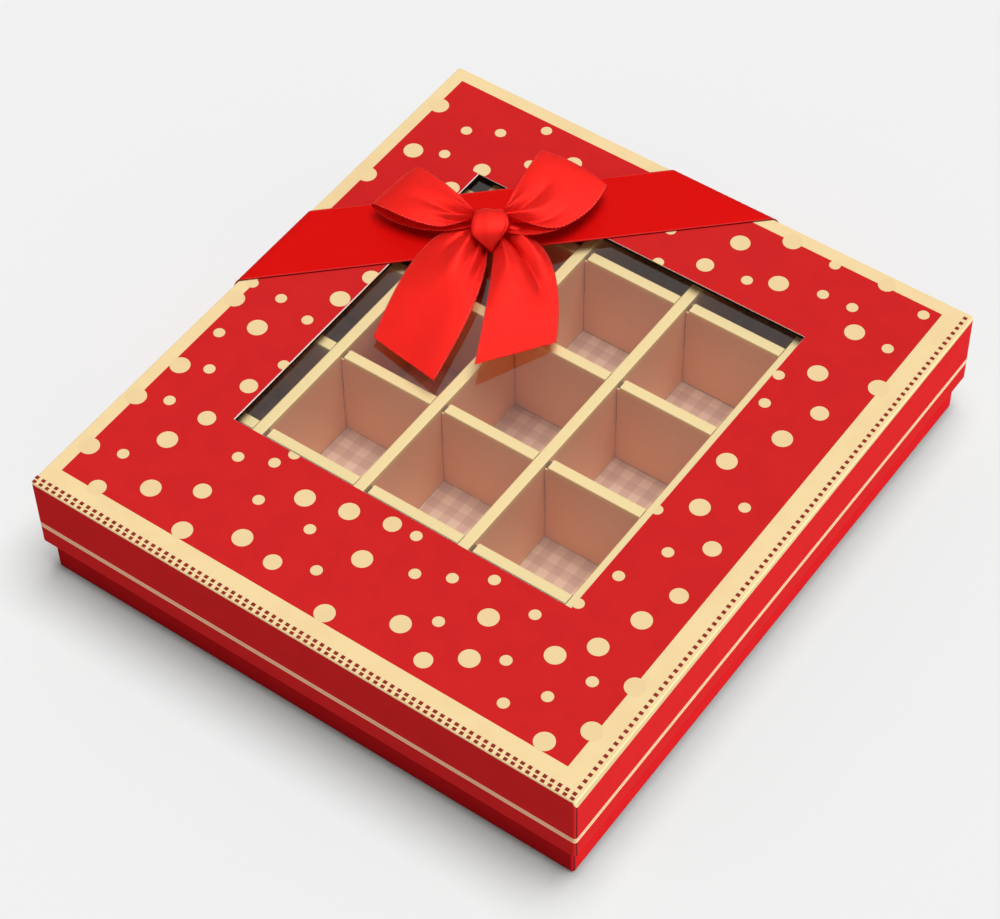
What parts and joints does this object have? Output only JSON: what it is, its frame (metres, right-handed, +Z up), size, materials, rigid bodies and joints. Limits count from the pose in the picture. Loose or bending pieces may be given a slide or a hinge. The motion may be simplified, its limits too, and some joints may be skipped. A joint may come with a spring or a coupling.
{
  "type": "gift box",
  "caption": "Rectangular paper-wrapped gift box: lift-off lid with a clear window, ribbon band and bow, over a tray with a card divider grid.",
  "frame": {"origin": "centre of the tray's underside, which the closed box stands on", "axes": "+Z up, +Y to the back edge, +X to the right; the ribbon crosses the back-left corner"},
  "size_m": [0.2006, 0.2206, 0.0531],
  "materials": {
    "printed_paper": "coated paper, printed red with cream dots, satin",
    "plain_paper": "coated paper, plain red, satin",
    "board": "grey-brown chipboard with dark cut faces, matt",
    "lining_paper": "uncoated white paper, matt",
    "stay_paper": "gummed kraft paper, matt",
    "film": "clear film, glossy",
    "gold_card": "card with a pearly gold face, satin",
    "check_paper": "paper printed with a small tan check, matt",
    "satin_ribbon": "polyester satin ribbon, red",
    "glue": "set hot-melt adhesive"
  },
  "bodies": {
    "tray": {"tray_wrap": "plain_paper", "tray_board": "board", "tray_lining": "lining_paper", "floor_sheet": "check_paper", "tray_corner_stay_front_left": "stay_paper", "tray_corner_stay_front_right": "stay_paper", "tray_corner_stay_back_left": "stay_paper", "tray_corner_stay_back_right": "stay_paper", "divider_long_1": "gold_card", "divider_long_2": "gold_card", "divider_long_3": "gold_card", "divider_long_4": "gold_card", "divider_cross_1": "gold_card", "divider_cross_2": "gold_card", "divider_cross_3": "gold_card", "divider_cross_4": "gold_card"},
    "lid": {"lid_wrap": "printed_paper", "lid_board": "board", "lid_lining": "lining_paper", "window_film": "film", "lid_corner_stay_front_left": "stay_paper", "lid_corner_stay_front_right": "stay_paper", "lid_corner_stay_back_left": "stay_paper", "lid_corner_stay_back_right": "stay_paper", "ribbon_band": "satin_ribbon", "bow_knot": "satin_ribbon", "bow_loop_left": "satin_ribbon", "bow_loop_right": "satin_ribbon", "bow_tail_left": "satin_ribbon", "bow_tail_right": "satin_ribbon", "bow_glue_pad": "glue"}
  },
  "joints": [
    {"name": "lid_lift", "type": "slide", "parent": "tray", "child": "lid", "axis": [0, 0, 1], "range_m": [0, 0.06]}
  ]
}
